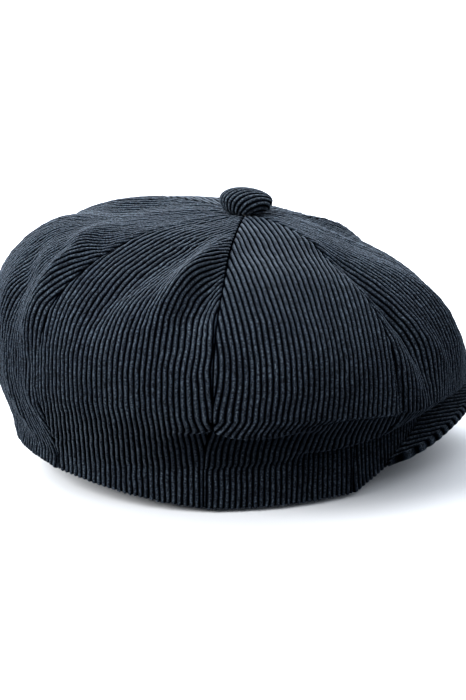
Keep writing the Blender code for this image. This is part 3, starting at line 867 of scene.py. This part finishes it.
def corduroy_material():
    """Dark navy cotton corduroy: soft slate backs and mottled pile with a cool sheen, with painted shade in
    the grooves, whose colour runs near-black and whose gloss and sheen fall away.
    """
    made, nodes, links, shader = new_material("corduroy")
    pile = nodes.new("ShaderNodeAttribute")
    pile.attribute_name = "pile"
    # Painted shade: the colour runs from the cloth's own slate on the wale backs down to near-black in the
    # grooves, where the wale height falls
    backs_and_groove_shade = colour_ramp(nodes, [(0.40, (0.0001, 0.0002, 0.0006)), (0.78, (0.0054, 0.0082, 0.0132)),
                                (1.0, (0.0225, 0.0298, 0.0400))])
    links.new(pile.outputs["Fac"], backs_and_groove_shade.inputs["Fac"])
    fibre = noise(nodes, links, 1250, 3.0, 0.85)
    fibre_ramp = colour_ramp(nodes, [(0.39, (0.04, 0.04, 0.06)), (0.5, (0.70, 0.70, 0.70)),
                                     (0.62, (3.9, 3.85, 3.7))])
    links.new(fibre.outputs["Fac"], fibre_ramp.inputs["Fac"])
    broad = noise(nodes, links, 45, 5.0, 0.65)
    broad_ramp = colour_ramp(nodes, [(0.3, (0.70, 0.71, 0.76)), (0.7, (1.32, 1.3, 1.24))])
    links.new(broad.outputs["Fac"], broad_ramp.inputs["Fac"])
    mottled = mix_colours(nodes, links, 1.0, backs_and_groove_shade.outputs["Color"], fibre_ramp.outputs["Color"], "MULTIPLY")
    colour = mix_colours(nodes, links, 1.0, mottled, broad_ramp.outputs["Color"], "MULTIPLY")
    links.new(colour, shader.inputs["Base Color"])
    add_bump(nodes, links, shader, fibre.outputs["Fac"], strength=0.8, distance=0.0004)
    shader.inputs["Roughness"].default_value = 0.9
    # Painted shade: gloss and sheen fade out towards the grooves, so that the grooves stay near-black
    for socket, most in (("Specular IOR Level", 0.12), ("Sheen Weight", 0.42)):
        amount = nodes.new("ShaderNodeMapRange")
        amount.inputs["From Min"].default_value = 0.45
        amount.inputs["To Max"].default_value = most
        links.new(pile.outputs["Fac"], amount.inputs["Value"])
        links.new(amount.outputs["Result"], shader.inputs[socket])
    shader.inputs["Sheen Roughness"].default_value = 0.25
    shader.inputs["Sheen Tint"].default_value = (0.62, 0.76, 0.95, 1)
    return made


def woven_material(name, dark, light, roughness, sheen, thread, diagonal):
    """A plain or twilled cloth whose threads lie thread apart. diagonal leans the twill."""
    made, nodes, links, shader = new_material(name)
    coordinates = nodes.new("ShaderNodeTexCoord")
    mapping = nodes.new("ShaderNodeMapping")
    mapping.inputs["Rotation"].default_value = (math.radians(diagonal), math.radians(diagonal), 0)
    links.new(coordinates.outputs["Object"], mapping.inputs["Vector"])
    twill = nodes.new("ShaderNodeTexWave")
    twill.bands_direction = "Z"
    twill.inputs["Scale"].default_value = 2 * math.pi / (20 * thread)
    twill.inputs["Distortion"].default_value = 0.6
    twill.inputs["Detail"].default_value = 2.0
    links.new(mapping.outputs["Vector"], twill.inputs["Vector"])
    patch = noise(nodes, links, 90, 5.0, 0.6)
    both = mix_colours(nodes, links, 0.5, twill.outputs["Color"], patch.outputs["Color"])
    ramp = colour_ramp(nodes, [(0.25, dark), (0.75, light)])
    links.new(both, ramp.inputs["Fac"])
    links.new(ramp.outputs["Color"], shader.inputs["Base Color"])
    add_bump(nodes, links, shader, twill.outputs["Fac"], strength=0.5, distance=thread * 0.3)
    shader.inputs["Roughness"].default_value = roughness
    shader.inputs["Sheen Weight"].default_value = sheen
    return made


def hard_material(name, dark, light, roughness, metallic, scale):
    """Moulded or pressed stock with slight mottling and a fine grain."""
    made, nodes, links, shader = new_material(name)
    patch = noise(nodes, links, scale, 6.0, 0.6)
    ramp = colour_ramp(nodes, [(0.3, dark), (0.7, light)])
    links.new(patch.outputs["Fac"], ramp.inputs["Fac"])
    links.new(ramp.outputs["Color"], shader.inputs["Base Color"])
    rough = nodes.new("ShaderNodeMapRange")
    rough.inputs["To Min"].default_value = roughness * 0.8
    rough.inputs["To Max"].default_value = roughness * 1.2
    links.new(patch.outputs["Fac"], rough.inputs["Value"])
    links.new(rough.outputs["Result"], shader.inputs["Roughness"])
    add_bump(nodes, links, shader, patch.outputs["Fac"], strength=0.2, distance=0.0001)
    shader.inputs["Metallic"].default_value = metallic
    return made


def plain_material(name, colour, roughness):
    made, nodes, links, shader = new_material(name)
    shader.inputs["Base Color"].default_value = (*colour, 1)
    shader.inputs["Roughness"].default_value = roughness
    return made


# The stage


def add_area_light(name, place, aim, size, energy, colour):
    light = bpy.data.lights.new(name, "AREA")
    light.size = size
    light.energy = energy
    light.color = colour
    made = bpy.data.objects.new(name, light)
    bpy.context.scene.collection.objects.link(made)
    made.location = place
    made.rotation_euler = (Vector(aim) - Vector(place)).to_track_quat("-Z", "Y").to_euler()


def add_floor():
    """A pale floor that throws no light back on the cloth."""
    floor_mesh = bpy.data.meshes.new("floor")
    corners = [(x * FLOOR_REACH, y * FLOOR_REACH, FLOOR_Z) for x, y in ((-1, -1), (1, -1), (1, 1), (-1, 1))]
    floor_mesh.from_pydata(corners, [], [(0, 1, 2, 3)])
    floor = link("floor", floor_mesh, plain_material("floor", (0.68, 0.69, 0.705), 0.9))
    floor.visible_diffuse = False
    floor.visible_glossy = False


def add_studio():
    """Two soft lights in a room that is bright overhead, and plain white where the camera looks past it."""
    world = bpy.data.worlds.new("studio")
    world.use_nodes = True
    nodes, links = world.node_tree.nodes, world.node_tree.links
    around = nodes["Background"]
    coordinates = nodes.new("ShaderNodeTexCoord")
    split = nodes.new("ShaderNodeSeparateXYZ")
    links.new(coordinates.outputs["Generated"], split.inputs["Vector"])
    ramp = colour_ramp(nodes, [(0.0, (0.10, 0.12, 0.15)), (0.3, (0.42, 0.46, 0.52)),
                               (1.0, (2.35, 2.45, 2.6))])
    links.new(split.outputs["Z"], ramp.inputs["Fac"])
    links.new(ramp.outputs["Color"], around.inputs["Color"])
    white = nodes.new("ShaderNodeBackground")
    path = nodes.new("ShaderNodeLightPath")
    pick = nodes.new("ShaderNodeMixShader")
    links.new(path.outputs["Is Camera Ray"], pick.inputs["Fac"])
    links.new(around.outputs["Background"], pick.inputs[1])
    links.new(white.outputs["Background"], pick.inputs[2])
    white.inputs["Color"].default_value = (1.0, 1.0, 1.0, 1)
    links.new(pick.outputs["Shader"], nodes["World Output"].inputs["Surface"])
    bpy.context.scene.world = world

    add_area_light("key", place=(-1.4, -0.45, 0.95), aim=(0, 0, 0.05), size=0.8, energy=50,
                   colour=(1.0, 1.0, 1.0))
    add_area_light("back", place=(-0.15, 1.5, 0.75), aim=(0, 0, 0.08), size=1.0, energy=70,
                   colour=(0.90, 0.95, 1.0))


def add_camera():
    azimuth, elevation = math.radians(CAMERA_AZIMUTH), math.radians(CAMERA_ELEVATION)
    back = Vector((math.sin(azimuth) * math.cos(elevation), -math.cos(azimuth) * math.cos(elevation),
                   math.sin(elevation)))
    right = Vector((math.cos(azimuth), math.sin(azimuth), 0))
    up = back.cross(right)
    roll = math.radians(CAMERA_ROLL)
    data = bpy.data.cameras.new("camera")
    data.sensor_width = CAMERA_SENSOR
    data.lens = CAMERA_LENS
    camera = bpy.data.objects.new("camera", data)
    bpy.context.scene.collection.objects.link(camera)
    place = Vector((CENTRE_X, 0, CAMERA_AIM_Z)) + right * CAMERA_RIGHT + back * CAMERA_DISTANCE
    turned_right = right * math.cos(roll) + up * math.sin(roll)
    turned_up = back.cross(turned_right)
    turned = Matrix((turned_right, turned_up, back)).transposed()
    camera.matrix_world = Matrix.Translation(place) @ turned.to_4x4()
    bpy.context.scene.camera = camera
    bpy.context.scene.view_settings.view_transform = "Standard"


def stand_for(piece, replaced, body="crown", bends=False):
    """Hides the model's part that the piece replaces. A piece that bends has its placing baked into its mesh,
    and any other hangs on its body's empty.
    """
    if bends:
        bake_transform(piece)
    else:
        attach(piece, body)
    if replaced:
        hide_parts(replaced)


def cut_size(turns, downs, surface, allowance):
    """(width, length, area) of the flat piece that makes this stretch of surface, with its turnings."""
    grid = surface(*np.meshgrid(turns, downs))
    widths = np.linalg.norm(np.diff(grid, axis=1), axis=-1).sum(axis=1)
    steps = np.linalg.norm(np.diff(grid[:, len(turns) // 2], axis=0), axis=-1)
    length = steps.sum() + allowance
    area = (steps * (widths[1:] + widths[:-1]) / 2).sum() + allowance * widths[-1]
    return widths.max(), length, area


def main():
    add_floor()
    add_studio()
    add_camera()
    corduroy = corduroy_material()
    satin = woven_material("lining", (0.016, 0.018, 0.025), (0.040, 0.044, 0.056), 0.36, 0.0, 0.0005, 0)
    twill = woven_material("sweatband", (0.007, 0.0075, 0.009), (0.024, 0.026, 0.031), 0.75, 0.15, 0.0009, 45)
    canvas = woven_material("interlining", (0.30, 0.28, 0.24), (0.55, 0.53, 0.47), 0.9, 0.1, 0.0008, 0)
    thread = woven_material("thread", (0.020, 0.024, 0.030), (0.05, 0.055, 0.065), 0.6, 0.2, 0.0004, 45)
    board = hard_material("brim_board", (0.40, 0.41, 0.42), (0.58, 0.59, 0.60), 0.5, 0.0, 300)
    metal = hard_material("button_metal", (0.42, 0.42, 0.41), (0.62, 0.62, 0.60), 0.35, 1.0, 900)
    for index in range(GORES):
        bends = PLACES[index] in BENDS_WITH_BRIM
        turns = (index + np.linspace(-0.5, 0.5, MEASURE_COLUMNS)) / GORES
        gore = make_gore(index, corduroy)
        stand_for(gore, "crown_panel_" + PLACES[index], bends=bends)
        width, length, area = cut_size(turns, gore_rows(), plain_crown, 2 * HEM_ROLL + HEM_TURNING)
        lining = make_lining_gore(index, satin)
        stand_for(lining, "lining_" + PLACES[index], bends=bends)
        downs = np.linspace(LINING_TOP_DOWN, 1.0, LINING_MEASURE_ROWS)
        width, length, area = cut_size(turns, downs, lining_point, 0)

    tape = make_band("hem_tape", TAPE_INSET, TAPE_LIFT, TAPE_HEIGHT, TAPE_THICKNESS, canvas, 0.0)
    stand_for(tape, "hem_interlining", bends=True)
    band = make_band("sweatband_twill", SWEATBAND_INSET, SWEATBAND_LIFT, SWEATBAND_HEIGHT,
                     SWEATBAND_THICKNESS, twill, SWEATBAND_RIPPLE)
    stand_for(band, "sweatband", bends=True)
    stitches = make_stitches("sweatband_stitching", SWEATBAND_INSET + SWEATBAND_THICKNESS,
                             STITCH_HEIGHT, thread)
    stand_for(stitches, None, bends=True)

    for name, replaced, upper in (("brim_top_corduroy", "brim_top_cover", True),
                                  ("brim_under_corduroy", "brim_under_cover", False)):
        cover = make_brim_cover(name, corduroy, upper)
        stand_for(cover, replaced, body="brim")

    button = make_button(corduroy)
    stand_for(button, "button_cover", body="button")

    for node, material in (("brim_board", board), ("button_shell", metal), ("button_back", metal),
                           ("button_shank", metal), ("button_washer", metal)):
        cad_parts[node].data.materials.clear()
        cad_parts[node].data.materials.append(material)


main()
